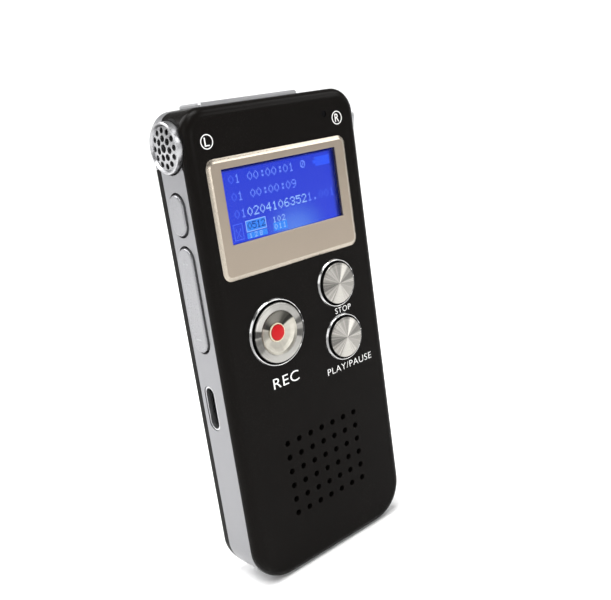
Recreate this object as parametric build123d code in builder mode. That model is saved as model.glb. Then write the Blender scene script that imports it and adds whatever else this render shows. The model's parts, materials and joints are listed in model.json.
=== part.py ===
"""Handheld voice recorder: a 93 mm pocket recorder with a display, three front keys and two microphones.

The recorder stands on its lower end: +Z runs along its length, the display faces -Y and +X is to the
right of someone who looks at the display. Places on the front are given by x and z. Depth is measured
from the flat front of the cover, positive into the case. All sizes are in millimetres.
"""
import math
import os

from build123d import *

os.makedirs("parts", exist_ok=True)

# ---- Case -------------------------------------------------------------------------------------
WIDTH = 40.6
HEIGHT = 93.0
THICKNESS = 11.8
WALL = 1.3
TOP_CORNER = 4.8
BOTTOM_CORNER = 8.0
FRONT_FILLET = 2.0
REAR_FILLET = 0.8
HEEL_DEPTH = 9.0
HEEL_RISE = 7.5
HEEL_CREASE = 10
FIT_GAP = 0.05
SEAM_GAP = 0.1

# How far a cutting shape runs past the surface it cuts, and the length below which there is none.
EXTRA = 1.0
TOUCH = 0.01

# The tallest thing on the front is the tip of the two small keys; it sets the front of the box.
CONE_TIP = 1.2
FRONT_Y = -(THICKNESS - CONE_TIP) / 2
SIDE_X = WIDTH / 2

# ---- Parting lines between the front cover, the frame and the rear cover -------------------------
FRONT_SIDE_DEPTH = 2.2
FRONT_TOP_DEPTH = 9.0
PARTING_LOW_Z = 82.6
PARTING_HIGH_Z = 92.0
REAR_SIDE_DEPTH = 9.75
REAR_TOP_Z = 83.2

# ---- Display ------------------------------------------------------------------------------------
BEZEL_X, BEZEL_Z = -0.5, 72.85
BEZEL_WIDTH, BEZEL_HEIGHT = 33.3, 22.1
BEZEL_CORNER = 2.0
BEZEL_PROUD = 0.4
BEZEL_SUNK = 0.5
BEZEL_CHAMFER = 0.38
WINDOW_X, WINDOW_Z = -0.5, 75.05
WINDOW_WIDTH, WINDOW_HEIGHT = 27.35, 13.65
WINDOW_THICKNESS = 0.5
LCD_WIDTH, LCD_HEIGHT = 31.0, 17.4
LCD_DEPTH, LCD_THICKNESS = 0.55, 1.35
BACKLIGHT_WIDTH, BACKLIGHT_HEIGHT, BACKLIGHT_THICKNESS = LCD_WIDTH - 1.0, LCD_HEIGHT - 0.8, 1.0
TRAY_WIDTH, TRAY_HEIGHT, TRAY_FLOOR = LCD_WIDTH + 1.4, LCD_HEIGHT + 2.2, 0.7
TRAY_CORNER = 0.6

# ---- Front keys: x, z, radius of the chrome ring ---------------------------------------------------
REC_KEY = (-7.4, 49.8, 6.65)
STOP_KEY = (9.0, 55.3, 4.95)
PLAY_KEY = (9.15, 43.9, 4.95)
RING_PROUD = 0.45
RING_WIDTH = 0.65
KEY_GAP = 0.2
KEY_TRAVEL = 0.4
KEY_STEM_DEPTH = 3.2

# ---- Speaker grille ----------------------------------------------------------------------------
GRILLE_COLUMNS, GRILLE_ROWS = 7, 6
GRILLE_PITCH = 3.0
GRILLE_HOLE_R = 0.62
GRILLE_Z = 19.8
SPEAKER_R = 11.5
CLOTH_THICKNESS = 0.3
MAGNET_DEPTH, MAGNET_R, MAGNET_THICKNESS = 2.9, 4.5, 1.0

# ---- Microphone pods, one on each side -------------------------------------------------------------
POD_DEPTH, POD_Z = 6.0, 86.85
POD_R = 4.6
POD_PROUD = 0.95
POD_SOCKET_R = 4.9
POD_BACK = 3.8
POD_DRILL = 1.4
SEAL_START, SEAL_GAP = 1.5, 0.02
# Rings of sound holes: distance from the pod's centre, number of holes, radius of a hole.
POD_RINGS = ((0.0, 1, 0.78), (1.75, 7, 0.62), (3.15, 12, 0.54))

# ---- Left side: two keys and the data port -----------------------------------------------------------
SIDE_KEY_DEPTH = 6.2
SIDE_KEY_WIDTH = 4.4
SIDE_KEY_PROUD = 0.5
SIDE_KEY_ROUND = 0.3
MODE_Z, MODE_LENGTH = 74.8, 7.5
ROCKER_Z, ROCKER_LENGTH = 58.9, 19.9
SIDE_KEY_GAP = 0.4
PORT_Z, PORT_DEPTH = 37.4, 6.9
PORT_LENGTH, PORT_WIDTH = 8.94, 3.2
PORT_WALL, PORT_BACK = 0.3, 0.6
PORT_SUNK = 0.15
PORT_BODY_DEPTH = 7.3
TONGUE_START, TONGUE_THICKNESS, TONGUE_WIDTH = 1.1, 0.7, 6.7

# ---- Right side: power slider --------------------------------------------------------------------------
SLIDER_Z, SLIDER_DEPTH = 62.0, 6.0
SLIDER_TRAVEL = 2.5
SLIDER_LENGTH, SLIDER_WIDTH = 6.0, 3.0
SLIDER_SUNK, SLIDER_PROUD = 0.5, 0.45
SLIDER_GAP = 0.2
TRACK_DEPTH = 0.6
NECK_WIDTH, NECK_HEIGHT, NECK_LENGTH = 1.2, 1.8, 2.4
GROOVES, GROOVE_PITCH, GROOVE_WIDTH, GROOVE_DEPTH = 4, 0.8, 0.35, 0.25
POWER_SWITCH_INSET = 1.8
POWER_SWITCH_WIDTH, POWER_SWITCH_HEIGHT, POWER_SWITCH_THICKNESS = 3.2, 9.0, 2.8

# ---- Top plate with two 3.5 mm jacks -----------------------------------------------------------------
PLATE_LEFT, PLATE_RIGHT = -15.0, 7.5
PLATE_FRONT, PLATE_REAR = 2.0, 8.8
PLATE_PROUD = 0.7
PLATE_SUNK = 0.6
PLATE_CORNER, PLATE_CHAMFER = 0.5, 0.3
JACK_X = (-9.0, 2.3)
JACK_DEPTH = 6.2
JACK_BORE_R = 1.8
JACK_NOZZLE_R = 2.6
JACK_BORE_LENGTH = 12.8
JACK_BODY_WIDTH, JACK_BODY_THICKNESS, JACK_BODY_LENGTH = 6.0, 4.6, 11.8
JACK_BODY_CORNER = 0.4
NOZZLE_ROOT = 0.4

# ---- Inside -------------------------------------------------------------------------------------------
BOARD_DEPTH, BOARD_THICKNESS = 5.4, 1.0
BOARD_X, BOARD_Z = 1.35, 42.0
BOARD_WIDTH, BOARD_LENGTH = 31.3, 72.0
BOARD_CORNER = 2.5
BOARD_GAP = 0.3
PORT_NOTCH, SWITCH_NOTCH = 3.8, 1.7
CHIP_Z, CHIP_CORNER = 35.0, 0.2
BATTERY_X, BATTERY_Z = 1.5, 54.0
BATTERY_WIDTH, BATTERY_LENGTH, BATTERY_THICKNESS = 26.0, 44.0, 3.5
BATTERY_CORNER, BATTERY_ROUND = 1.5, 1.2
STATUS_X, STATUS_Z = 11.8, 88.4
STATUS_R, STATUS_SUNK = 0.6, 0.15
STATUS_FLANGE_R, STATUS_FLANGE = 1.0, 0.7


def front_plane(depth):
    """Plane parallel to the front at a depth into the case, drawn in x and z and facing the viewer."""
    return Plane.XZ.offset(-(FRONT_Y + depth))


def y_at(depth):
    """Y of a depth into the case."""
    return FRONT_Y + depth


def save(builder, name):
    """Label a finished piece and write its STEP file."""
    builder.part.label = name
    export_step(builder.part, f"parts/{name}.step")


def is_rear_edge(edge):
    """True for the edges of the back face and for the two where the heel meets the lower corners."""
    box = edge.bounding_box()
    across_heel = edge.center().Z < HEEL_RISE + EXTRA and box.size.X > WIDTH / 2
    return box.max.Y > y_at(THICKNESS) - TOUCH and box.size.Y < THICKNESS and not across_heel and not is_along_y(box)


def is_along_y(box):
    """True for a bounding box with no size except in Y."""
    return box.size.X < TOUCH and box.size.Z < TOUCH


def case_block(inset):
    """The whole case as one solid, drawn in by inset on every side; inset 0 is the outer form."""
    front, back = y_at(inset), y_at(THICKNESS - inset)
    heel_a, heel_b = HEEL_DEPTH - inset, HEEL_RISE - inset
    # The heel's ellipse leaves the flat end at a slight crease, so that its side edges can be rounded.
    heel_y = back - heel_a + heel_a * math.sin(math.radians(HEEL_CREASE))
    heel_z = inset + heel_b * math.cos(math.radians(HEEL_CREASE))
    with BuildPart() as block:
        with BuildSketch(front_plane(inset)) as outline:
            with Locations((0, HEIGHT / 2)):
                Rectangle(WIDTH - 2 * inset, HEIGHT - 2 * inset)
            fillet(outline.vertices().group_by(Axis.Y)[-1], TOP_CORNER - inset)
            fillet(outline.vertices().group_by(Axis.Y)[0], BOTTOM_CORNER - inset)
        extrude(amount=-(THICKNESS - 2 * inset))
        with BuildSketch(Plane.YZ.offset(-WIDTH)):
            with BuildLine():
                Line((front, inset), (heel_y, inset))
                EllipticalCenterArc(
                    (back - heel_a, heel_z), heel_a, heel_b, start_angle=270 + HEEL_CREASE, arc_size=90 - HEEL_CREASE
                )
                Line((back, heel_z), (back, HEIGHT - inset))
                Line((back, HEIGHT - inset), (front, HEIGHT - inset))
                Line((front, HEIGHT - inset), (front, inset))
            make_face()
        extrude(amount=2 * WIDTH, mode=Mode.INTERSECT)
        if inset == 0:
            fillet(block.faces().sort_by(Axis.Y)[0].edges(), FRONT_FILLET)
            fillet(block.edges().filter_by(is_rear_edge), REAR_FILLET)
    return block.part


def side_profile(points):
    """Prism across the whole width whose side view is the given outline of (depth, z) points."""
    with BuildPart() as prism:
        with BuildSketch(Plane.YZ.offset(-WIDTH)):
            with BuildLine():
                Polyline(*[(y_at(depth), z) for depth, z in points], close=True)
            make_face()
        extrude(amount=2 * WIDTH)
    return prism.part


def front_region(gap):
    """Everything in front of the front parting line, less half a seam."""
    side, top = FRONT_SIDE_DEPTH - gap, FRONT_TOP_DEPTH - gap
    return side_profile(
        [
            (-EXTRA, -EXTRA),
            (side, -EXTRA),
            (side, PARTING_LOW_Z),
            (top, PARTING_HIGH_Z),
            (top, HEIGHT + EXTRA),
            (-EXTRA, HEIGHT + EXTRA),
        ]
    )


def rear_region(gap):
    """Everything behind the rear parting line, less half a seam."""
    near, far, top = REAR_SIDE_DEPTH + gap, THICKNESS + EXTRA, REAR_TOP_Z - gap
    return side_profile([(near, -EXTRA), (far, -EXTRA), (far, top), (near, top)])


def key_positions(keys):
    """Locations on a front plane for keys given as (x, z, ring radius)."""
    return [(x, z) for x, z, _ in keys]


def cut_pod_sockets(radius):
    """Cut the round sockets of both microphone pods through the side walls."""
    for start_x in (-SIDE_X - 2 * EXTRA, SIDE_X - WALL - 2 * EXTRA):
        with BuildSketch(Plane.YZ.offset(start_x)) as socket:
            with Locations((y_at(POD_DEPTH), POD_Z)):
                Circle(radius)
        extrude(socket.sketch, amount=WALL + 4 * EXTRA, mode=Mode.SUBTRACT)


OUTER = case_block(0)
CAVITY = case_block(WALL)
FRONT_KEYS = (REC_KEY, STOP_KEY, PLAY_KEY)


# ==== Casings ===========================================================================================
with BuildPart() as front_cover:
    add(OUTER)
    add(CAVITY, mode=Mode.SUBTRACT)
    add(front_region(0), mode=Mode.INTERSECT)
    with BuildSketch(front_plane(BEZEL_SUNK)):
        with Locations((BEZEL_X, BEZEL_Z)):
            RectangleRounded(BEZEL_WIDTH + 2 * FIT_GAP, BEZEL_HEIGHT + 2 * FIT_GAP, BEZEL_CORNER)
    extrude(amount=BEZEL_SUNK + EXTRA, mode=Mode.SUBTRACT)
    with BuildSketch(front_plane(WALL + EXTRA)):
        with Locations((WINDOW_X, WINDOW_Z)):
            Rectangle(LCD_WIDTH + 2 * SEAM_GAP, LCD_HEIGHT + 2 * SEAM_GAP)
    extrude(amount=WALL + 2 * EXTRA, mode=Mode.SUBTRACT)
    for key_x, key_z, ring_r in FRONT_KEYS:
        with BuildSketch(front_plane(BEZEL_SUNK)):
            with Locations((key_x, key_z)):
                Circle(ring_r)
        extrude(amount=BEZEL_SUNK + EXTRA, mode=Mode.SUBTRACT)
        with BuildSketch(front_plane(WALL + EXTRA)):
            with Locations((key_x, key_z)):
                Circle(ring_r - RING_WIDTH)
        extrude(amount=WALL + 2 * EXTRA, mode=Mode.SUBTRACT)
    with BuildSketch(front_plane(WALL + EXTRA)):
        with Locations((0, GRILLE_Z)):
            with GridLocations(GRILLE_PITCH, GRILLE_PITCH, GRILLE_COLUMNS, GRILLE_ROWS):
                Circle(GRILLE_HOLE_R)
        with Locations((STATUS_X, STATUS_Z)):
            Circle(STATUS_R)
    extrude(amount=WALL + 2 * EXTRA, mode=Mode.SUBTRACT)
    cut_pod_sockets(POD_SOCKET_R)
    with BuildSketch(Plane.XY.offset(HEIGHT - PLATE_SUNK)):
        with Locations(((PLATE_LEFT + PLATE_RIGHT) / 2, y_at((PLATE_FRONT + PLATE_REAR) / 2))):
            Rectangle(PLATE_RIGHT - PLATE_LEFT + 2 * FIT_GAP, PLATE_REAR - PLATE_FRONT + 2 * FIT_GAP)
    extrude(amount=PLATE_SUNK + EXTRA, mode=Mode.SUBTRACT)
    with BuildSketch(Plane.XY.offset(HEIGHT - WALL - EXTRA)):
        with Locations(*[(x, y_at(JACK_DEPTH)) for x in JACK_X]):
            Circle(JACK_NOZZLE_R + SEAM_GAP)
    extrude(amount=WALL + 2 * EXTRA, mode=Mode.SUBTRACT)
save(front_cover, "front_cover")


def left_slot(z, depth, length, width, gap):
    """Cut a stadium slot of a side key or port through the left wall."""
    with BuildSketch(Plane.YZ.offset(-SIDE_X - EXTRA)) as slot:
        with Locations((y_at(depth), z)):
            SlotOverall(length + 2 * gap, width + 2 * gap, rotation=90)
    extrude(slot.sketch, amount=WALL + 2 * EXTRA, mode=Mode.SUBTRACT)


PIN_X = -SIDE_X + 2.7
PIN_R = 0.4
PIN_HALF = 3.1
RIB_WIDTH, RIB_DEPTH = 1.4, 1.6
RIB_LOW_Z, RIB_HIGH_Z = 78.0, 85.0
EAR_LENGTH, EAR_THICKNESS, EAR_HEIGHT = 2.4, 0.7, 2.4
EAR_BITE = 0.1

with BuildPart() as side_frame:
    add(OUTER)
    add(CAVITY, mode=Mode.SUBTRACT)
    add(front_region(-SEAM_GAP / 2), mode=Mode.SUBTRACT)
    add(rear_region(-SEAM_GAP / 2), mode=Mode.SUBTRACT)
    left_slot(MODE_Z, SIDE_KEY_DEPTH, MODE_LENGTH, SIDE_KEY_WIDTH, SIDE_KEY_GAP)
    left_slot(ROCKER_Z, SIDE_KEY_DEPTH, ROCKER_LENGTH, SIDE_KEY_WIDTH, SIDE_KEY_GAP)
    left_slot(PORT_Z, PORT_DEPTH, PORT_LENGTH, PORT_WIDTH, SEAM_GAP)
    # Two ears inside the left wall carry the rocker's pin.
    for side in (-1, 1):
        ear_y = y_at(SIDE_KEY_DEPTH) + side * (SIDE_KEY_WIDTH / 2 + SIDE_KEY_GAP + EAR_THICKNESS / 2)
        with BuildSketch(Plane.XY.offset(ROCKER_Z - EAR_HEIGHT / 2)):
            with Locations((-SIDE_X + WALL - EAR_BITE + EAR_LENGTH / 2, ear_y)):
                Rectangle(EAR_LENGTH, EAR_THICKNESS)
        extrude(amount=EAR_HEIGHT)
    with BuildSketch(front_plane(SIDE_KEY_DEPTH + PIN_HALF)):
        with Locations((PIN_X, ROCKER_Z)):
            Circle(PIN_R)
    extrude(amount=2 * PIN_HALF, mode=Mode.SUBTRACT)
    # Ribs inside the shoulders tie the side bands to the head behind the pods.
    with BuildSketch(Plane.XY.offset(RIB_LOW_Z)):
        for side in (-1, 1):
            with Locations((side * (SIDE_X - WALL - RIB_WIDTH / 2), y_at(THICKNESS - WALL - RIB_DEPTH / 2))):
                Rectangle(RIB_WIDTH, RIB_DEPTH)
    extrude(amount=RIB_HIGH_Z - RIB_LOW_Z)
    # Power slider: a shallow track outside and a slot through the wall.
    with BuildSketch(Plane.YZ.offset(SIDE_X - TRACK_DEPTH)):
        with Locations((y_at(SLIDER_DEPTH), SLIDER_Z + SLIDER_TRAVEL / 2)):
            SlotOverall(SLIDER_LENGTH + SLIDER_TRAVEL + 2 * SLIDER_GAP, SLIDER_WIDTH + 2 * SLIDER_GAP, rotation=90)
    extrude(amount=TRACK_DEPTH + EXTRA, mode=Mode.SUBTRACT)
    with BuildSketch(Plane.YZ.offset(SIDE_X - WALL - EXTRA)):
        with Locations((y_at(SLIDER_DEPTH), SLIDER_Z + SLIDER_TRAVEL / 2)):
            Rectangle(NECK_WIDTH + 2 * SLIDER_GAP, NECK_HEIGHT + SLIDER_TRAVEL + 2 * SLIDER_GAP)
    extrude(amount=WALL + 2 * EXTRA, mode=Mode.SUBTRACT)
    cut_pod_sockets(POD_SOCKET_R)
save(side_frame, "side_frame")

SCREW_SPOTS = ((-14.5, 14.5), (14.5, 14.5), (-14.5, 78.5), (14.5, 78.5))
SCREW_R = 0.7
SCREW_HEAD_R = 1.3
SCREW_HEAD_DEPTH, SCREW_SUNK = 0.8, 0.1
SCREW_LENGTH = 3.0
CROSS_LENGTH, CROSS_WIDTH, CROSS_DEPTH = 1.7, 0.36, 0.45

with BuildPart() as rear_cover:
    add(OUTER)
    add(CAVITY, mode=Mode.SUBTRACT)
    add(rear_region(SEAM_GAP / 2), mode=Mode.INTERSECT)
    with BuildSketch(front_plane(THICKNESS - SCREW_HEAD_DEPTH)):
        with Locations(*SCREW_SPOTS):
            Circle(SCREW_HEAD_R + SEAM_GAP)
    extrude(amount=-(SCREW_HEAD_DEPTH + EXTRA), mode=Mode.SUBTRACT)
    with BuildSketch(front_plane(THICKNESS - WALL - EXTRA)):
        with Locations(*SCREW_SPOTS):
            Circle(SCREW_R + SEAM_GAP)
    extrude(amount=-(WALL + 2 * EXTRA), mode=Mode.SUBTRACT)
save(rear_cover, "rear_cover")

with BuildPart() as rear_screws:
    with BuildSketch(front_plane(THICKNESS - SCREW_SUNK)):
        with Locations(*SCREW_SPOTS):
            Circle(SCREW_HEAD_R)
    extrude(amount=SCREW_HEAD_DEPTH - SCREW_SUNK)
    with BuildSketch(front_plane(THICKNESS - SCREW_HEAD_DEPTH)):
        with Locations(*SCREW_SPOTS):
            Circle(SCREW_R)
    extrude(amount=SCREW_LENGTH)
    # Cross slots in the heads.
    with BuildSketch(front_plane(THICKNESS - SCREW_SUNK - CROSS_DEPTH)):
        with Locations(*SCREW_SPOTS):
            Rectangle(CROSS_LENGTH, CROSS_WIDTH)
            Rectangle(CROSS_WIDTH, CROSS_LENGTH)
    extrude(amount=-(CROSS_DEPTH + EXTRA), mode=Mode.SUBTRACT)
save(rear_screws, "rear_screws")

with BuildPart() as top_plate:
    with BuildSketch(Plane.XY.offset(HEIGHT - PLATE_SUNK)):
        with Locations(((PLATE_LEFT + PLATE_RIGHT) / 2, y_at((PLATE_FRONT + PLATE_REAR) / 2))):
            RectangleRounded(PLATE_RIGHT - PLATE_LEFT, PLATE_REAR - PLATE_FRONT, PLATE_CORNER)
    extrude(amount=PLATE_SUNK + PLATE_PROUD)
    chamfer(top_plate.faces().sort_by(Axis.Z)[-1].edges(), PLATE_CHAMFER)
    with BuildSketch(Plane.XY.offset(HEIGHT + PLATE_PROUD)):
        with Locations(*[(x, y_at(JACK_DEPTH)) for x in JACK_X]):
            Circle(JACK_NOZZLE_R + SEAM_GAP)
    extrude(amount=-(PLATE_SUNK + PLATE_PROUD), mode=Mode.SUBTRACT)
save(top_plate, "top_plate")


# ==== Display ===========================================================================================
with BuildPart() as display_bezel:
    with BuildSketch(front_plane(BEZEL_SUNK)):
        with Locations((BEZEL_X, BEZEL_Z)):
            RectangleRounded(BEZEL_WIDTH, BEZEL_HEIGHT, BEZEL_CORNER)
    extrude(amount=BEZEL_SUNK + BEZEL_PROUD)
    chamfer(display_bezel.faces().sort_by(Axis.Y)[0].edges(), length=BEZEL_CHAMFER, length2=2 * BEZEL_CHAMFER)
    with BuildSketch(front_plane(BEZEL_SUNK)):
        with Locations((WINDOW_X, WINDOW_Z)):
            Rectangle(WINDOW_WIDTH, WINDOW_HEIGHT)
    extrude(amount=BEZEL_SUNK + BEZEL_PROUD, mode=Mode.SUBTRACT)
save(display_bezel, "display_bezel")

with BuildPart() as display_window:
    with BuildSketch(front_plane(LCD_DEPTH - FIT_GAP)):
        with Locations((WINDOW_X, WINDOW_Z)):
            Rectangle(WINDOW_WIDTH - 2 * FIT_GAP, WINDOW_HEIGHT - 2 * FIT_GAP)
    extrude(amount=WINDOW_THICKNESS)
save(display_window, "display_window")

with BuildPart() as lcd_panel:
    with BuildSketch(front_plane(LCD_DEPTH)):
        with Locations((WINDOW_X, WINDOW_Z)):
            Rectangle(LCD_WIDTH, LCD_HEIGHT)
    extrude(amount=-LCD_THICKNESS)
save(lcd_panel, "lcd_panel")

BACKLIGHT_DEPTH = LCD_DEPTH + LCD_THICKNESS

with BuildPart() as lcd_backlight:
    with BuildSketch(front_plane(BACKLIGHT_DEPTH)):
        with Locations((WINDOW_X, WINDOW_Z)):
            Rectangle(BACKLIGHT_WIDTH, BACKLIGHT_HEIGHT)
    extrude(amount=-BACKLIGHT_THICKNESS)
save(lcd_backlight, "lcd_backlight")

with BuildPart() as display_frame:
    with BuildSketch(front_plane(BACKLIGHT_DEPTH)):
        with Locations((WINDOW_X, WINDOW_Z)):
            RectangleRounded(TRAY_WIDTH, TRAY_HEIGHT, TRAY_CORNER)
    extrude(amount=-(BACKLIGHT_THICKNESS + TRAY_FLOOR))
    with BuildSketch(front_plane(BACKLIGHT_DEPTH)):
        with Locations((WINDOW_X, WINDOW_Z)):
            Rectangle(BACKLIGHT_WIDTH + 2 * FIT_GAP, BACKLIGHT_HEIGHT + 2 * FIT_GAP)
    extrude(amount=-BACKLIGHT_THICKNESS, mode=Mode.SUBTRACT)
save(display_frame, "display_frame")


# ==== Front keys ========================================================================================
def key_axis(key):
    """Axis through a front key, pointing into the case."""
    return Axis((key[0], 0, key[1]), (0, 1, 0))


def turned_profile(key, points):
    """Solid of revolution about a key's axis, from (radius, depth) points; call it inside a part."""
    key_x, key_z, _ = key
    with BuildSketch(Plane.XY.offset(key_z)) as profile:
        with BuildLine():
            Polyline(*[(key_x + radius, y_at(depth)) for radius, depth in points], close=True)
        make_face()
    revolve(profile.sketch, axis=key_axis(key))


def key_ring(key, name):
    """Fixed chrome ring seated round a key: rounded on top, with a skirt down to its seat."""
    ring_r = key[2]
    inner = ring_r - RING_WIDTH
    with BuildPart() as ring:
        turned_profile(
            key,
            [
                (inner, BEZEL_SUNK),
                (inner, -RING_PROUD + 0.2),
                (inner + 0.2, -RING_PROUD),
                (ring_r - 0.3, -RING_PROUD),
                (ring_r, -RING_PROUD + 0.35),
                (ring_r, BEZEL_SUNK),
            ],
        )
    save(ring, name)


key_ring(REC_KEY, "rec_ring")
key_ring(STOP_KEY, "stop_ring")
key_ring(PLAY_KEY, "play_ring")

CAP_FLANGE_DEPTH = WALL + 0.1
LENS_R = 1.6
DISH_R = 4.2

with BuildPart() as rec_button:
    rec_r = REC_KEY[2] - RING_WIDTH - KEY_GAP
    turned_profile(
        REC_KEY,
        [
            (0, 0.6),
            (LENS_R, 0.6),
            (LENS_R, -0.25),
            (LENS_R + 0.35, -0.25),
            (LENS_R + 0.45, 0.05),
            (DISH_R, -0.7),
            (rec_r - 0.4, -0.85),
            (rec_r, -0.6),
            (rec_r, CAP_FLANGE_DEPTH),
            (rec_r + 0.6, CAP_FLANGE_DEPTH),
            (rec_r + 0.6, CAP_FLANGE_DEPTH + 0.5),
            (1.6, CAP_FLANGE_DEPTH + 0.5),
            (1.3, KEY_STEM_DEPTH),
            (0, KEY_STEM_DEPTH),
        ],
    )
save(rec_button, "rec_button")

with BuildPart() as rec_lens:
    turned_profile(
        REC_KEY,
        [(0, 0.6), (LENS_R, 0.6), (LENS_R, -0.3), (LENS_R - 0.3, -0.5), (LENS_R / 2, -0.62), (0, -0.66)],
    )
save(rec_lens, "rec_lens")


def cone_button(key, name):
    """Small key with a shallow spun cone for a face, a retaining flange and a stem."""
    cap_r = key[2] - RING_WIDTH - KEY_GAP
    with BuildPart() as button:
        turned_profile(
            key,
            [
                (0, -CONE_TIP),
                (cap_r - 0.35, -0.65),
                (cap_r, -0.4),
                (cap_r, CAP_FLANGE_DEPTH),
                (cap_r + 0.5, CAP_FLANGE_DEPTH),
                (cap_r + 0.5, CAP_FLANGE_DEPTH + 0.5),
                (1.4, CAP_FLANGE_DEPTH + 0.5),
                (1.1, KEY_STEM_DEPTH),
                (0, KEY_STEM_DEPTH),
            ],
        )
    save(button, name)


cone_button(STOP_KEY, "stop_button")
cone_button(PLAY_KEY, "play_button")

MAT_DEPTH = KEY_STEM_DEPTH + KEY_TRAVEL + SEAM_GAP
MAT_THICKNESS = 0.5
MAT_X, MAT_Z = 0.9, 49.6
MAT_WIDTH, MAT_HEIGHT, MAT_CORNER = 30.0, 22.0, 2.0
DOME_DEPTH = MAT_DEPTH + MAT_THICKNESS + SEAM_GAP
DOME_WIDTH, DOME_CORNER = 4.4, 0.5

with BuildPart() as keypad_mat:
    with BuildSketch(front_plane(MAT_DEPTH)):
        with Locations((MAT_X, MAT_Z)):
            RectangleRounded(MAT_WIDTH, MAT_HEIGHT, MAT_CORNER)
    extrude(amount=-MAT_THICKNESS)
save(keypad_mat, "keypad_mat")

with BuildPart() as key_switches:
    with BuildSketch(front_plane(DOME_DEPTH)):
        with Locations(*key_positions(FRONT_KEYS)):
            RectangleRounded(DOME_WIDTH, DOME_WIDTH, DOME_CORNER)
    extrude(amount=-(BOARD_DEPTH - DOME_DEPTH))
save(key_switches, "key_switches")


# ==== Microphone pods ====================================================================================
def pod_axis():
    """Axis of the pods, across the case."""
    return Axis((0, y_at(POD_DEPTH), POD_Z), (1, 0, 0))


def pod_turned(side, points):
    """Solid of revolution about the pod axis from (distance in from the pod's face, radius) points."""
    face_x = SIDE_X + POD_PROUD
    with BuildSketch(Plane.XZ.offset(-y_at(POD_DEPTH))) as profile:
        with BuildLine():
            Polyline(*[(side * (face_x - inward), POD_Z + radius) for inward, radius in points], close=True)
        make_face()
    revolve(profile.sketch, axis=pod_axis())


def pod_holes(side):
    """Drill the rings of sound holes through a pod's face."""
    start = side * (SIDE_X + POD_PROUD + EXTRA)
    for ring_radius, count, hole_r in POD_RINGS:
        with BuildSketch(Plane.YZ.offset(start)) as holes:
            with Locations((y_at(POD_DEPTH), POD_Z)):
                with PolarLocations(ring_radius, count, start_angle=90):
                    Circle(hole_r)
        extrude(holes.sketch, amount=-side * (POD_DRILL + EXTRA), mode=Mode.SUBTRACT)


def microphone(side, suffix):
    """One microphone: perforated cap, seal ring, dust screen and electret capsule."""
    with BuildPart() as cap:
        pod_turned(
            side,
            [
                (0.05, 0),
                (0.35, 3.8),
                (0.45, 4.0),
                (0, 4.2),
                (0, 4.45),
                (0.15, POD_R),
                (POD_BACK, POD_R),
                (POD_BACK, 3.9),
                (1.15, 3.7),
                (0.85, 0),
            ],
        )
        pod_holes(side)
    save(cap, f"mic_cap_{suffix}")
    with BuildPart() as seal:
        seal_in, seal_out = POD_R + SEAL_GAP, POD_SOCKET_R - SEAL_GAP
        pod_turned(side, [(SEAL_START, seal_in), (SEAL_START, seal_out), (POD_BACK, seal_out), (POD_BACK, seal_in)])
    save(seal, f"mic_seal_{suffix}")
    with BuildPart() as screen:
        pod_turned(side, [(1.25, 0), (1.25, 3.6), (1.45, 3.6), (1.45, 0)])
    save(screen, f"mic_screen_{suffix}")
    with BuildPart() as capsule:
        pod_turned(side, [(1.5, 0), (1.5, 3.0), (4.2, 3.0), (4.2, 0)])
    save(capsule, f"mic_capsule_{suffix}")


microphone(-1, "left")
microphone(1, "right")


# ==== Left side keys and data port ========================================================================
KEY_FACE_X = -SIDE_X - SIDE_KEY_PROUD
INNER_X = -SIDE_X + WALL
SWITCH_X = -SIDE_X + 3.4
LIP_LENGTH, LIP_WIDTH, LIP_THICKNESS = MODE_LENGTH + 1.2, SIDE_KEY_WIDTH + 0.4, 0.4
STEM_LENGTH, STEM_WIDTH, STEM_GAP = 2.1, 1.6, 0.4
ROCKER_ARM = 7.5
BOSS_LENGTH, BOSS_HEIGHT, BOSS_END = 2.3, 1.8, 0.8
PIN_GAP = 0.03
TACT_WIDTH, TACT_HEIGHT, TACT_THICKNESS, TACT_CORNER = 3.0, 3.6, 0.9, 0.3
KEY_BOARD_Z = 64.0
KEY_BOARD_WIDTH, KEY_BOARD_LENGTH, KEY_BOARD_THICKNESS, KEY_BOARD_CORNER = 4.6, 30.0, 0.6, 0.6


def stadium(z, depth, length, width, start_x, thickness):
    """Stadium-shaped slab on the left side, from start_x inwards; call it inside a part."""
    with BuildSketch(Plane.YZ.offset(start_x)) as slab:
        with Locations((y_at(depth), z)):
            SlotOverall(length, width, rotation=90)
    extrude(slab.sketch, amount=thickness)


with BuildPart() as mode_button:
    lip_x = INNER_X + SEAM_GAP
    stadium(MODE_Z, SIDE_KEY_DEPTH, MODE_LENGTH, SIDE_KEY_WIDTH, KEY_FACE_X, lip_x + LIP_THICKNESS - KEY_FACE_X)
    fillet(mode_button.faces().sort_by(Axis.X)[0].edges(), SIDE_KEY_ROUND)
    stadium(MODE_Z, SIDE_KEY_DEPTH, LIP_LENGTH, LIP_WIDTH, lip_x, LIP_THICKNESS)
    stadium(MODE_Z, SIDE_KEY_DEPTH, STEM_LENGTH, STEM_WIDTH, lip_x, SWITCH_X - STEM_GAP - lip_x)
save(mode_button, "mode_button")

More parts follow.
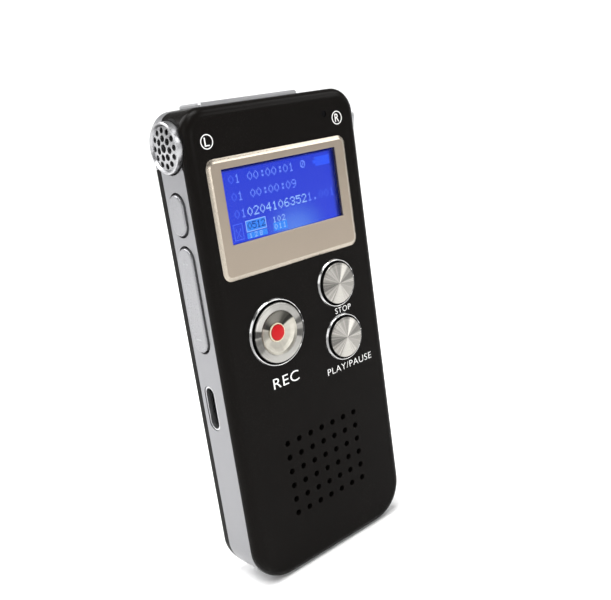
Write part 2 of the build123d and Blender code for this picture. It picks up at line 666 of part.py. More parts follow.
with BuildPart() as volume_rocker:
    stadium(ROCKER_Z, SIDE_KEY_DEPTH, ROCKER_LENGTH, SIDE_KEY_WIDTH, KEY_FACE_X, INNER_X + SEAM_GAP - KEY_FACE_X)
    fillet(volume_rocker.faces().sort_by(Axis.X)[0].edges(), SIDE_KEY_ROUND)
    with BuildSketch(Plane.XY.offset(ROCKER_Z - BOSS_HEIGHT / 2)):
        with Locations((PIN_X + BOSS_END - BOSS_LENGTH / 2, y_at(SIDE_KEY_DEPTH))):
            Rectangle(BOSS_LENGTH, SIDE_KEY_WIDTH)
    extrude(amount=BOSS_HEIGHT)
    for stem_z in (ROCKER_Z - ROCKER_ARM, ROCKER_Z + ROCKER_ARM):
        stadium(stem_z, SIDE_KEY_DEPTH, STEM_LENGTH, STEM_WIDTH, INNER_X, SWITCH_X - STEM_GAP - INNER_X)
    with BuildSketch(front_plane(SIDE_KEY_DEPTH + PIN_HALF)):
        with Locations((PIN_X, ROCKER_Z)):
            Circle(PIN_R + PIN_GAP)
    extrude(amount=2 * PIN_HALF, mode=Mode.SUBTRACT)
save(volume_rocker, "volume_rocker")

with BuildPart() as rocker_pin:
    with BuildSketch(front_plane(SIDE_KEY_DEPTH + PIN_HALF)):
        with Locations((PIN_X, ROCKER_Z)):
            Circle(PIN_R)
    extrude(amount=2 * PIN_HALF)
save(rocker_pin, "rocker_pin")

with BuildPart() as side_switches:
    with BuildSketch(Plane.YZ.offset(SWITCH_X)):
        with Locations(*[(y_at(SIDE_KEY_DEPTH), z) for z in (MODE_Z, ROCKER_Z - ROCKER_ARM, ROCKER_Z + ROCKER_ARM)]):
            RectangleRounded(TACT_WIDTH, TACT_HEIGHT, TACT_CORNER)
    extrude(amount=TACT_THICKNESS)
save(side_switches, "side_switches")

with BuildPart() as side_key_board:
    with BuildSketch(Plane.YZ.offset(SWITCH_X + TACT_THICKNESS)):
        with Locations((y_at(SIDE_KEY_DEPTH), KEY_BOARD_Z)):
            RectangleRounded(KEY_BOARD_WIDTH, KEY_BOARD_LENGTH, KEY_BOARD_CORNER)
    extrude(amount=KEY_BOARD_THICKNESS)
save(side_key_board, "side_key_board")

PORT_FACE_X = -SIDE_X + PORT_SUNK

with BuildPart() as usb_port:
    stadium(PORT_Z, PORT_DEPTH, PORT_LENGTH, PORT_WIDTH, PORT_FACE_X, PORT_BODY_DEPTH)
    with BuildSketch(Plane.YZ.offset(PORT_FACE_X)):
        with Locations((y_at(PORT_DEPTH), PORT_Z)):
            SlotOverall(PORT_LENGTH - 2 * PORT_WALL, PORT_WIDTH - 2 * PORT_WALL, rotation=90)
    extrude(amount=PORT_BODY_DEPTH - PORT_BACK, mode=Mode.SUBTRACT)
save(usb_port, "usb_port")

with BuildPart() as usb_tongue:
    with BuildSketch(Plane.YZ.offset(PORT_FACE_X + TONGUE_START)):
        with Locations((y_at(PORT_DEPTH), PORT_Z)):
            Rectangle(TONGUE_THICKNESS, TONGUE_WIDTH)
    extrude(amount=PORT_BODY_DEPTH - PORT_BACK - TONGUE_START)
save(usb_tongue, "usb_tongue")


# ==== Power slider =========================================================================================
with BuildPart() as power_slider:
    with BuildSketch(Plane.YZ.offset(SIDE_X - SLIDER_SUNK)):
        with Locations((y_at(SLIDER_DEPTH), SLIDER_Z)):
            SlotOverall(SLIDER_LENGTH, SLIDER_WIDTH, rotation=90)
    extrude(amount=SLIDER_SUNK + SLIDER_PROUD)
    # Grip grooves across the knob.
    with BuildSketch(Plane.YZ.offset(SIDE_X + SLIDER_PROUD - GROOVE_DEPTH)):
        with Locations((y_at(SLIDER_DEPTH), SLIDER_Z)):
            with GridLocations(0, GROOVE_PITCH, 1, GROOVES):
                Rectangle(SLIDER_WIDTH + EXTRA, GROOVE_WIDTH)
    extrude(amount=GROOVE_DEPTH + EXTRA, mode=Mode.SUBTRACT)
    with BuildSketch(Plane.YZ.offset(SIDE_X - SLIDER_GAP - NECK_LENGTH)):
        with Locations((y_at(SLIDER_DEPTH), SLIDER_Z)):
            Rectangle(NECK_WIDTH, NECK_HEIGHT)
    extrude(amount=NECK_LENGTH)
save(power_slider, "power_slider")

with BuildPart() as power_switch:
    with BuildSketch(Plane.YZ.offset(SIDE_X - POWER_SWITCH_INSET - POWER_SWITCH_THICKNESS)):
        with Locations((y_at(SLIDER_DEPTH), SLIDER_Z + SLIDER_TRAVEL / 2)):
            Rectangle(POWER_SWITCH_WIDTH, POWER_SWITCH_HEIGHT)
    extrude(amount=POWER_SWITCH_THICKNESS)
    with BuildSketch(Plane.YZ.offset(SIDE_X - POWER_SWITCH_INSET - POWER_SWITCH_THICKNESS / 2)):
        with Locations((y_at(SLIDER_DEPTH), SLIDER_Z + SLIDER_TRAVEL / 2)):
            Rectangle(NECK_WIDTH + 2 * SLIDER_GAP, NECK_HEIGHT + SLIDER_TRAVEL + 2 * SLIDER_GAP)
    extrude(amount=POWER_SWITCH_THICKNESS, mode=Mode.SUBTRACT)
save(power_switch, "power_switch")


# ==== Jacks, speaker and the rest of the inside ===============================================================
def jack(x, name):
    """3.5 mm socket: a square body under the top wall and a round nozzle up through the plate."""
    top = HEIGHT + PLATE_PROUD - FIT_GAP
    body_top = HEIGHT - WALL - SEAM_GAP
    with BuildPart() as socket:
        with BuildSketch(Plane.XY.offset(body_top - JACK_BODY_LENGTH)):
            with Locations((x, y_at(JACK_DEPTH))):
                RectangleRounded(JACK_BODY_WIDTH, JACK_BODY_THICKNESS, JACK_BODY_CORNER)
        extrude(amount=JACK_BODY_LENGTH)
        with BuildSketch(Plane.XY.offset(body_top - NOZZLE_ROOT)):
            with Locations((x, y_at(JACK_DEPTH))):
                Circle(JACK_NOZZLE_R)
        extrude(amount=top - body_top + NOZZLE_ROOT)
        with BuildSketch(Plane.XY.offset(top)):
            with Locations((x, y_at(JACK_DEPTH))):
                Circle(JACK_BORE_R)
        extrude(amount=-JACK_BORE_LENGTH, mode=Mode.SUBTRACT)
    save(socket, name)


jack(JACK_X[0], "microphone_jack")
jack(JACK_X[1], "earphone_jack")

with BuildPart() as grille_cloth:
    with BuildSketch(front_plane(WALL)):
        with Locations((0, GRILLE_Z)):
            Circle(SPEAKER_R)
    extrude(amount=-CLOTH_THICKNESS)
save(grille_cloth, "grille_cloth")


def speaker_turned(points):
    """Solid of revolution about the speaker's axis; call it inside a part."""
    turned_profile((0, GRILLE_Z, 0), points)


with BuildPart() as speaker_basket:
    speaker_turned(
        [
            (SPEAKER_R - 1.4, 1.7),
            (SPEAKER_R, 1.7),
            (SPEAKER_R, 2.6),
            (7.2, 3.9),
            (7.2, 4.6),
            (0, 4.6),
            (0, 3.9),
            (6.0, 3.9),
            (SPEAKER_R - 1.4, 2.4),
        ]
    )
save(speaker_basket, "speaker_basket")

with BuildPart() as speaker_cone:
    speaker_turned([(0, 2.2), (3.0, 2.5), (8.6, 1.9), (9.8, 1.75), (9.8, 1.9), (8.6, 2.1), (3.0, 2.8), (0, 2.5)])
save(speaker_cone, "speaker_cone")

with BuildPart() as speaker_magnet:
    with BuildSketch(front_plane(MAGNET_DEPTH)):
        with Locations((0, GRILLE_Z)):
            Circle(MAGNET_R)
    extrude(amount=-MAGNET_THICKNESS)
save(speaker_magnet, "speaker_magnet")

with BuildPart() as main_board:
    with BuildSketch(front_plane(BOARD_DEPTH)):
        with Locations((BOARD_X, BOARD_Z)):
            RectangleRounded(BOARD_WIDTH, BOARD_LENGTH, BOARD_CORNER)
        with Locations((BOARD_X - BOARD_WIDTH / 2, PORT_Z)):
            Rectangle(2 * PORT_NOTCH, PORT_LENGTH + 2 * BOARD_GAP, mode=Mode.SUBTRACT)
        with Locations((BOARD_X + BOARD_WIDTH / 2, SLIDER_Z + SLIDER_TRAVEL / 2)):
            Rectangle(2 * SWITCH_NOTCH, POWER_SWITCH_HEIGHT + 2 * BOARD_GAP, mode=Mode.SUBTRACT)
    extrude(amount=-BOARD_THICKNESS)
save(main_board, "main_board")


def chip(name, x, width, height, thickness):
    """Chip on the front of the main board."""
    with BuildPart() as package:
        with BuildSketch(front_plane(BOARD_DEPTH)):
            with Locations((x, CHIP_Z)):
                RectangleRounded(width, height, CHIP_CORNER)
        extrude(amount=thickness)
    save(package, name)


chip("processor", -7.5, 6.0, 6.0, 0.9)
chip("memory_chip", 7.0, 9.0, 5.5, 0.8)

with BuildPart() as battery:
    with BuildSketch(front_plane(BOARD_DEPTH + BOARD_THICKNESS + BOARD_GAP)):
        with Locations((BATTERY_X, BATTERY_Z)):
            RectangleRounded(BATTERY_WIDTH, BATTERY_LENGTH, BATTERY_CORNER)
    extrude(amount=-BATTERY_THICKNESS)
    fillet(battery.edges().filter_by(Axis.Z), BATTERY_ROUND)
save(battery, "battery")

with BuildPart() as status_lens:
    with BuildSketch(front_plane(STATUS_SUNK)):
        with Locations((STATUS_X, STATUS_Z)):
            Circle(STATUS_R - FIT_GAP / 2)
    extrude(amount=-(WALL + FIT_GAP + STATUS_FLANGE - STATUS_SUNK))
    with BuildSketch(front_plane(WALL + FIT_GAP)):
        with Locations((STATUS_X, STATUS_Z)):
            Circle(STATUS_FLANGE_R)
    extrude(amount=-STATUS_FLANGE)
save(status_lens, "status_lens")
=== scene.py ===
"""Looks of the handheld voice recorder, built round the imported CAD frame."""

import json
import math

import bmesh
import bpy
from mathutils import Matrix, Vector


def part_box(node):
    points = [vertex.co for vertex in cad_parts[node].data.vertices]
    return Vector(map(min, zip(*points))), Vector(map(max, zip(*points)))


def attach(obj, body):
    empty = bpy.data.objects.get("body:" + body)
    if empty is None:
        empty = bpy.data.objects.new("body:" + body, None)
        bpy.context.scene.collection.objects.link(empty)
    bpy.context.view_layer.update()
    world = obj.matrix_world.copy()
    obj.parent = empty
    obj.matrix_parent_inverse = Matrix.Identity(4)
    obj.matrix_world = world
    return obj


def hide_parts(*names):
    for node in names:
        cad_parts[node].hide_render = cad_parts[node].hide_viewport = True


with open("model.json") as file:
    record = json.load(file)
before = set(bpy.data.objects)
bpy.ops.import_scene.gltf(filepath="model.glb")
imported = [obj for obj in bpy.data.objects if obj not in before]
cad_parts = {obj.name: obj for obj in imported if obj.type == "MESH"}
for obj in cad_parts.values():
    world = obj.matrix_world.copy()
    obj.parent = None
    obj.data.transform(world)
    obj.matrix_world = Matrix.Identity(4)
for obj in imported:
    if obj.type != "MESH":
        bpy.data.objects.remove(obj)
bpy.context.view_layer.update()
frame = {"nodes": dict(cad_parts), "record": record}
SCENE = bpy.context.scene
MM = 0.001
POD_GROOVE_R = 4.0 * MM
# Noise scales in cycles per metre, the span that most of a noise lies in, and the depth of fine grain.
PATCH_SCALE, RING_SCALE = 90.0, 9000.0
NOISE_SPAN = (0.3, 0.7)
FINE_DEPTH = 0.01 * MM
CREASE_ANGLE = math.radians(32)


def centre(node):
    """Middle of a CAD node's box."""
    low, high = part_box(node)
    return (low + high) / 2


# ---- Shader building -----------------------------------------------------------------------------
class Shader:
    """A material's node tree with short calls to add nodes; an input is a value or another node's output."""

    def __init__(self, name):
        self.material = bpy.data.materials.new(name)
        self.material.use_nodes = True
        self.tree = self.material.node_tree
        self.tree.nodes.clear()
        self.surface = self.add("ShaderNodeBsdfPrincipled")
        output = self.add("ShaderNodeOutputMaterial")
        self.tree.links.new(self.surface.outputs[0], output.inputs[0])

    def set(self, node, **inputs):
        """Set or link inputs by name, with _ for a space; i0, i1 and so on go by number."""
        for key, value in inputs.items():
            slot = int(key[1:]) if key[0] == "i" and key[1:].isdigit() else key.replace("_", " ")
            if isinstance(value, bpy.types.NodeSocket):
                self.tree.links.new(value, node.inputs[slot])
            else:
                node.inputs[slot].default_value = value
        return node

    def add(self, kind, props=None, **inputs):
        """Add one node with properties and inputs."""
        node = self.tree.nodes.new(kind)
        for key, value in (props or {}).items():
            setattr(node, key, value)
        return self.set(node, **inputs)

    def place(self):
        """Place on the object in metres, in the object's own frame."""
        return self.add("ShaderNodeTexCoord").outputs["Object"]

    def math(self, operation, a, b=0.0, c=0.0):
        """One scalar operation."""
        return self.add("ShaderNodeMath", {"operation": operation}, i0=a, i1=b, i2=c).outputs[0]

    def noise(self, scale, detail=2.0, vector=None):
        """Noise from 0 to 1 at a scale in cycles per metre."""
        vector = self.place() if vector is None else vector
        return self.add("ShaderNodeTexNoise", Vector=vector, Scale=scale, Detail=detail).outputs["Fac"]

    def remap(self, value, low, high, to_low, to_high, smooth=False):
        """Value from one range to another, held at the ends."""
        props = {"interpolation_type": "SMOOTHSTEP" if smooth else "LINEAR"}
        node = self.add("ShaderNodeMapRange", props, Value=value)
        return self.set(node, From_Min=low, From_Max=high, To_Min=to_low, To_Max=to_high).outputs[0]

    def mix(self, factor, a, b):
        """Colour between a and b."""
        node = self.add("ShaderNodeMix", {"data_type": "RGBA"}, i0=factor)
        for index, value in ((6, a), (7, b)):
            if isinstance(value, bpy.types.NodeSocket):
                self.tree.links.new(value, node.inputs[index])
            else:
                node.inputs[index].default_value = (*value, 1.0)
        return node.outputs[2]

    def bump(self, height, strength, distance):
        """Normal from a height in 0 to 1 with its depth in metres."""
        node = self.add("ShaderNodeBump", Height=height, Strength=strength, Distance=distance)
        return node.outputs["Normal"]


def shade(colour, factor):
    """Colour made lighter or darker."""
    return tuple(min(1.0, channel * factor) for channel in colour)


def finish(name, colour, roughness, metallic=0.0, grain=3000.0, bump=0.08, depth=0.02 * MM, tint=0.06,
           spread=0.06, **fixed):
    """Procedural finish: patchy colour, and grain in roughness and bump."""
    s = Shader(name)
    patches = s.noise(PATCH_SCALE, 3.0)
    fine = s.noise(grain)
    base = s.mix(patches, shade(colour, 1 - tint), shade(colour, 1 + tint))
    rough = s.math("ADD", s.remap(fine, *NOISE_SPAN, roughness - spread, roughness + spread),
                   s.remap(patches, *NOISE_SPAN, -spread / 2, spread / 2))
    s.set(s.surface, Base_Color=base, Metallic=metallic, Roughness=rough, Normal=s.bump(fine, bump, depth))
    s.set(s.surface, **fixed)
    return s.material


def spun_with_painted_fans(name, colour, roughness, fans, streaks, contrast, grooves=0.10, waver=0.1):
    """Metal turned on a lathe about the object's own Y axis: fine rings, and painted reflections in its
    colour.

    A fan is a painted reflection out from the centre (direction in the face, half width and softness in
    degrees, factor
    on the colour: above 1 a painted highlight, below 1 a painted dark reflection). Its edge is moved by the
    streaks, which are partly brush marks and partly painted reflection, more so with more waver.
    """
    s = Shader(name)
    x, _, z = s.add("ShaderNodeSeparateXYZ", Vector=s.place()).outputs
    radius = s.math("SQRT", s.math("ADD", s.math("MULTIPLY", x, x), s.math("MULTIPLY", z, z)))
    inverse = s.math("DIVIDE", 1.0, s.math("MAXIMUM", radius, 0.05 * MM))
    across, up = s.math("MULTIPLY", x, inverse), s.math("MULTIPLY", z, inverse)
    ray = s.noise(streaks, 3.0, s.add("ShaderNodeCombineXYZ", X=across, Y=up).outputs[0])
    line = s.noise(RING_SCALE, 1.0, s.add("ShaderNodeCombineXYZ", X=radius).outputs[0])
    streak = s.remap(ray, 0.35, 0.65, 0.0, 1.0)
    # Angular streaks in the colour: partly brush marks, partly painted reflection streaks.
    base = s.mix(streak, shade(colour, 1 - contrast), shade(colour, 1 + contrast))
    # Each fan paints a reflection wedge into the colour: a painted highlight above 1, a painted dark
    # reflection below 1.
    for direction, half_width, softness, factor in fans:
        angle = math.radians(direction)
        rise = s.math("MULTIPLY", up, math.sin(angle))
        facing = s.math("MULTIPLY_ADD", across, math.cos(angle), rise)
        facing = s.math("MULTIPLY_ADD", s.math("SUBTRACT", ray, 0.5), waver, facing)
        outer, inner = [math.cos(math.radians(half_width + side * softness)) for side in (1, -1)]
        base = s.mix(s.remap(facing, outer, inner, 0.0, 1.0, True), base, shade(colour, factor))
    rough = s.remap(line, *NOISE_SPAN, roughness - 0.05, roughness + 0.07)
    tangent = s.add("ShaderNodeTangent", {"direction_type": "RADIAL", "axis": "Y"})
    s.set(s.surface, Base_Color=base, Metallic=1.0, Roughness=rough, Anisotropic=0.75,
          Normal=s.bump(line, grooves, FINE_DEPTH), Tangent=tangent.outputs[0])
    return s.material


def brushed(name, colour, roughness, axis="X"):
    """Metal with fine brush lines along one axis."""
    s = Shader(name)
    along_lines, across_lines = 4.0, 400.0
    scale = [across_lines] * 3
    scale["XYZ".index(axis)] = along_lines
    lines = s.add("ShaderNodeMapping", Vector=s.place(), Scale=scale).outputs[0]
    stroke = s.noise(30.0, 4.0, lines)
    base = s.mix(stroke, shade(colour, 0.92), shade(colour, 1.06))
    rough = s.remap(stroke, *NOISE_SPAN, roughness - 0.04, roughness + 0.06)
    s.set(s.surface, Base_Color=base, Metallic=1.0, Roughness=rough, Normal=s.bump(stroke, 0.05, FINE_DEPTH))
    return s.material


def woven(name, colour, pitch):
    """Fine cloth with threads both ways at a pitch in metres."""
    s = Shader(name)
    x, y, z = s.add("ShaderNodeSeparateXYZ", Vector=s.place()).outputs
    turn = 2 * math.pi / pitch
    warp = s.math("SINE", s.math("MULTIPLY", s.math("ADD", x, y), turn))
    weft = s.math("SINE", s.math("MULTIPLY", z, turn))
    thread = s.math("MULTIPLY_ADD", s.math("MULTIPLY", warp, weft), 0.5, 0.5)
    base = s.mix(thread, shade(colour, 0.5), shade(colour, 1.6))
    s.set(s.surface, Base_Color=base, Roughness=0.9, Normal=s.bump(thread, 0.6, 0.03 * MM))
    return s.material


def pod_face(name, colour, roughness):
    """Bright metal of a microphone pod, with painted shade: a painted shadow in the ring round the face at
    the upper front, and painted shade on the face there and at the bottom.

    Both pods lie on one axis, so the left one's centre serves for both.
    """
    s = Shader(name)
    at = centre("mic_cap_left")
    _, y, z = s.add("ShaderNodeSeparateXYZ", Vector=s.place()).outputs
    across, up = s.math("SUBTRACT", y, at.y), s.math("SUBTRACT", z, at.z)
    square = s.math("ADD", s.math("MULTIPLY", across, across), s.math("MULTIPLY", up, up))
    radius = s.math("SQRT", square)
    off_groove = s.math("ABSOLUTE", s.math("SUBTRACT", radius, POD_GROOVE_R))
    slant = s.math("MULTIPLY_ADD", across, -0.6, s.math("MULTIPLY", up, 0.8))
    # Painted shadow in the ring at POD_GROOVE_R round the face, strongest towards the upper front.
    groove_half, groove_fade = 0.08 * MM, 0.30 * MM
    groove_shadow = s.math("MULTIPLY", s.remap(off_groove, groove_half, groove_fade, 1.0, 0.0, True),
                    s.remap(slant, 0.4 * MM, 2.6 * MM, 0.0, 0.8, True))
    inside = s.remap(radius, POD_GROOVE_R - 0.1 * MM, POD_GROOVE_R + 0.1 * MM, 1.0, 0.0, True)
    # Painted shade on the face towards the upper front and the bottom, inside the ring only.
    painted_shade = s.math("MAXIMUM", s.remap(slant, 0.0, 4.2 * MM, 0.0, 0.75, True),
                  s.remap(up, -1.2 * MM, -4.2 * MM, 0.0, 0.8, True))
    painted_shade = s.math("MULTIPLY", painted_shade, inside)
    fine = s.noise(7000.0)
    base = s.mix(s.noise(PATCH_SCALE, 3.0), shade(colour, 0.96), shade(colour, 1.04))
    # Darken the colour with the painted shade, then with the painted ring shadow.
    base = s.mix(painted_shade, base, shade(colour, 0.45))
    base = s.mix(groove_shadow, base, shade(colour, 0.20))
    rough = s.remap(fine, *NOISE_SPAN, roughness - 0.05, roughness + 0.05)
    s.set(s.surface, Base_Color=base, Metallic=0.95, Roughness=rough, Normal=s.bump(fine, 0.08, FINE_DEPTH))
    return s.material


def circuit_board(name):
    """Green solder mask with faint copper tracks under it."""
    s = Shader(name)
    cell = s.add("ShaderNodeTexVoronoi", {"feature": "DISTANCE_TO_EDGE", "distance": "CHEBYCHEV"},
                 Vector=s.place(), Scale=450.0).outputs["Distance"]
    track = s.remap(cell, 0.03, 0.06, 1.0, 0.0)
    base = s.mix(track, (0.006, 0.075, 0.028), (0.02, 0.16, 0.05))
    s.set(s.surface, Base_Color=base, Roughness=s.remap(s.noise(400.0), *NOISE_SPAN, 0.3, 0.42),
          Normal=s.bump(track, 0.3, 0.04 * MM))
    return s.material


# Painted reflection fans of the turned faces: direction, half width and softness in degrees, factor on the
# colour.
CONE_REFLECTION_FANS = ((57, 10, 7, 1.9), (162, 4, 3, 0.5), (172, 5, 4, 0.42), (187, 6, 4, 0.34), (199, 4, 3, 0.6),
             (16, 9, 7, 0.5), (-4, 4, 3, 1.25), (-17, 4, 3, 0.65), (-96, 20, 12, 1.3), (-40, 9, 5, 0.85),
             (84, 4, 3, 0.7), (104, 5, 3, 0.8), (128, 4, 3, 1.2))
DISH_REFLECTION_FANS = ((92, 60, 8, 0.10), (96, 24, 18, 0.34), (36, 7, 4, 0.05), (146, 8, 4, 0.05),
             (176, 15, 10, 0.5))
RIM_REFLECTION_FANS = ((132, 24, 12, 1.35), (168, 6, 3, 0.16), (186, 7, 4, 0.34), (200, 8, 5, 0.42), (14, 7, 3, 0.26),
            (-2, 4, 2, 0.8), (-15, 8, 3, 0.28), (-90, 40, 20, 1.25))
CHROME_REFLECTION_FANS = ((178, 26, 12, 0.35), (142, 26, 10, 0.5), (15, 5, 2, 0.10), (-6, 5, 2, 0.12), (30, 5, 3, 0.4),
               (-28, 6, 3, 0.3))
MATERIALS = {
    "black_case": finish("black_case", (0.0052, 0.0045, 0.0040), 0.24, grain=5200.0, depth=FINE_DEPTH,
                         tint=0.14, spread=0.04, Specular_IOR_Level=0.035),
    "silver_frame": finish("silver_frame", (0.243, 0.243, 0.253), 0.34, metallic=0.75, grain=6500.0,
                           bump=0.12, depth=FINE_DEPTH, tint=0.03, spread=0.05),
    "silver_plate": brushed("silver_plate", (0.34, 0.34, 0.348), 0.34),
    "screw_steel": finish("screw_steel", (0.10, 0.10, 0.105), 0.35, metallic=0.9, tint=0.15),
    "champagne_metal": finish("champagne_metal", (0.300, 0.253, 0.203), 0.36, metallic=0.9, grain=6000.0,
                              bump=0.07, depth=FINE_DEPTH, tint=0.03, spread=0.05),
    "backlight": finish("backlight", (0.8, 0.84, 0.9), 0.5),
    "white_plastic": finish("white_plastic", (0.75, 0.75, 0.72), 0.5),
    # The chrome rings, turned key faces, dish and rim carry painted reflections in their colour, as streaks
    # and fans.
    "chrome_ring": spun_with_painted_fans("chrome_ring", (0.66, 0.66, 0.655), 0.13, CHROME_REFLECTION_FANS, 1.5, 0.12, grooves=0.0),
    "spun_metal": spun_with_painted_fans("spun_metal", (0.33, 0.318, 0.295), 0.28, CONE_REFLECTION_FANS, 9.0, 0.30, waver=0.08),
    "dish_metal": spun_with_painted_fans("dish_metal", (0.46, 0.44, 0.385), 0.38, DISH_REFLECTION_FANS, 5.0, 0.06, waver=0.03),
    "rim_metal": spun_with_painted_fans("rim_metal", (0.30, 0.293, 0.275), 0.30, RIM_REFLECTION_FANS, 2.0, 0.10, waver=0.03),
    "red_lens": finish("red_lens", (0.43, 0.003, 0.006), 0.34, grain=2500.0, bump=0.03, tint=0.12,
                       Specular_IOR_Level=0.12, Coat_Weight=0.08, Coat_Roughness=0.15),
    "silicone": finish("silicone", (0.25, 0.25, 0.26), 0.65, bump=0.2),
    "switch_plastic": finish("switch_plastic", (0.02, 0.02, 0.02), 0.5),
    "bevel_metal": finish("bevel_metal", (0.40, 0.355, 0.295), 0.27, metallic=0.95, grain=6000.0, bump=0.04,
                          depth=FINE_DEPTH, tint=0.02, spread=0.04),
    "pod_metal": pod_face("pod_metal", (0.43, 0.43, 0.44), 0.29),
    "black_rubber": finish("black_rubber", (0.008, 0.008, 0.008), 0.7, bump=0.3, Specular_IOR_Level=0.15),
    "dust_cloth": woven("dust_cloth", (0.006, 0.006, 0.006), 0.2 * MM),
    "capsule_aluminium": brushed("capsule_aluminium", (0.55, 0.55, 0.55), 0.35),
    "silver_key": finish("silver_key", (0.262, 0.262, 0.272), 0.30, metallic=0.75, grain=6500.0, bump=0.10,
                         depth=FINE_DEPTH, tint=0.03, spread=0.05),
    "pin_steel": brushed("pin_steel", (0.03, 0.03, 0.03), 0.45, axis="Y"),
    "circuit_board": circuit_board("circuit_board"),
    "port_steel": brushed("port_steel", (0.55, 0.55, 0.56), 0.28, axis="Z"),
    "black_plastic": finish("black_plastic", (0.02, 0.02, 0.02), 0.45),
    "jack_plastic": finish("jack_plastic", (0.012, 0.012, 0.012), 0.35, bump=0.12),
    "speaker_steel": brushed("speaker_steel", (0.3, 0.3, 0.31), 0.4),
    "speaker_paper": finish("speaker_paper", (0.03, 0.03, 0.03), 0.8, bump=0.4),
    "chip_plastic": finish("chip_plastic", (0.012, 0.012, 0.012), 0.55, bump=0.3),
    "battery_wrap": finish("battery_wrap", (0.42, 0.44, 0.47), 0.35, tint=0.08),
    "smoked_lens": finish("smoked_lens", (0.002, 0.002, 0.0025), 0.2, bump=0.02, Specular_IOR_Level=0.05),
    "key_black": finish("key_black", (0.006, 0.006, 0.006), 0.5, bump=0.1, Specular_IOR_Level=0.15),
    "cream_rim": finish("cream_rim", (0.80, 0.70, 0.52), 0.35, grain=4000.0, bump=0.05),
}


# ---- Display glass and panel ---------------------------------------------------------------------
def window_glass():
    """Clear cover glass with a very slightly uneven surface."""
    s = Shader("clear_window")
    smear = s.noise(140.0, 3.0)
    s.set(s.surface, Base_Color=s.mix(smear, (0.97, 0.98, 1.0), (1.0, 1.0, 1.0)),
          Roughness=s.remap(smear, 0.4, 0.8, 0.015, 0.06), Transmission_Weight=1.0, IOR=1.12,
          Specular_IOR_Level=0.1)
    return s.material


def lit_panel(edge_dark, upper, lower, glow, box):
    """Backlit panel: a glow at its lower middle, borders that fade to dark, and a faint grid of dots."""
    s = Shader("lcd_glass")
    (left, _, bottom), (right, _, top) = box
    glow_reach, dots_per_metre = 6.2 * MM, 4500.0
    x, _, z = s.add("ShaderNodeSeparateXYZ", Vector=s.place()).outputs
    middle = s.math("SUBTRACT", x, left + 0.56 * (right - left))
    lift = s.math("SUBTRACT", z, bottom)
    reach = s.math("SQRT", s.math("ADD", s.math("MULTIPLY", s.math("MULTIPLY", middle, middle), 0.45),
                                  s.math("MULTIPLY", lift, lift)))
    tone = s.mix(s.remap(z, bottom, top, 0.0, 1.0), lower, upper)
    tone = s.mix(s.remap(reach, 0.0, glow_reach, 1.0, 0.0, True), tone, glow)
    inside = s.math("MULTIPLY", s.remap(x, right - 1.6 * MM, right - 0.1 * MM, 1.0, 0.0, True),
                    s.remap(z, top - 0.7 * MM, top - 0.2 * MM, 1.0, 0.0, True))
    inside = s.math("MULTIPLY", inside, s.remap(x, left, left + 0.5 * MM, 0.0, 1.0, True))
    grid = s.add("ShaderNodeTexVoronoi", {"distance": "CHEBYCHEV"}, Vector=s.place(), Scale=dots_per_metre,
                 Randomness=0.0)
    tone = s.mix(inside, edge_dark, tone)
    tone = s.mix(s.remap(grid.outputs["Distance"], 0.3, 0.5, 0.0, 0.12), tone, edge_dark)
    s.set(s.surface, Base_Color=(0.002, 0.002, 0.01, 1.0), Roughness=0.6, Specular_IOR_Level=0.0,
          Emission_Color=tone, Emission_Strength=1.0)
    return s.material


def ink(name, colour, lit=False, roughness=0.5):
    """Printed or lit mark with a slightly uneven tone."""
    s = Shader(name)
    grain = s.noise(6000.0)
    tone = s.mix(grain, shade(colour, 0.92), shade(colour, 1.05))
    s.set(s.surface, Roughness=s.remap(grain, *NOISE_SPAN, roughness - 0.05, roughness + 0.05))
    if lit:
        s.set(s.surface, Base_Color=s.mix(grain, (0.0, 0.0, 0.0), (0.004, 0.004, 0.01)),
              Specular_IOR_Level=0.0, Emission_Color=tone, Emission_Strength=1.0)
    else:
        s.set(s.surface, Base_Color=tone)
    return s.material


# ---- Pieces --------------------------------------------------------------------------------------
def piece(name, bm, body, material, replaces=(), smooth=True, origin=None):
    """Turn a bmesh in the part's frame into a piece that rides on a body.

    An origin moves the piece's own coordinates there, so that a turned material is centred on it.
    """
    mesh = bpy.data.meshes.new(name)
    bmesh.ops.recalc_face_normals(bm, faces=bm.faces)
    origin = Vector(origin or (0, 0, 0))
    bmesh.ops.translate(bm, vec=-origin, verts=bm.verts)
    bm.to_mesh(mesh)
    bm.free()
    mesh.polygons.foreach_set("use_smooth", [smooth] * len(mesh.polygons))
    if smooth:
        mesh.set_sharp_from_angle(angle=CREASE_ANGLE)
    obj = bpy.data.objects.new(name, mesh)
    SCENE.collection.objects.link(obj)
    obj.location = origin
    obj.data.materials.append(material)
    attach(obj, body)
    if replaces:
        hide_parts(*replaces)


ON_AXIS = 1e-9


def turned(profile, at, segments=144):
    """Closed solid of revolution about a Y axis through a point, from an outline of (radius, y) points."""
    bm = bmesh.new()
    rings = []
    for radius, y in profile:
        if radius < ON_AXIS:
            rings.append([bm.verts.new((at.x, y, at.z))])
            continue
        ring = []
        for i in range(segments):
            angle = 2 * math.pi * i / segments
            ring.append(bm.verts.new((at.x + radius * math.cos(angle), y, at.z + radius * math.sin(angle))))
        rings.append(ring)
    closed = len(rings[0]) > 1 and len(rings[-1]) > 1
    pairs = list(zip(rings, rings[1:])) + ([(rings[-1], rings[0])] if closed else [])
    for a, b in pairs:
        for i in range(segments):
            j = (i + 1) % segments
            corners = [a[i % len(a)], a[j % len(a)], b[j % len(b)], b[i % len(b)]]
            corners = list(dict.fromkeys(corners))
            if len(corners) > 2:
                bm.faces.new(corners)
    return bm


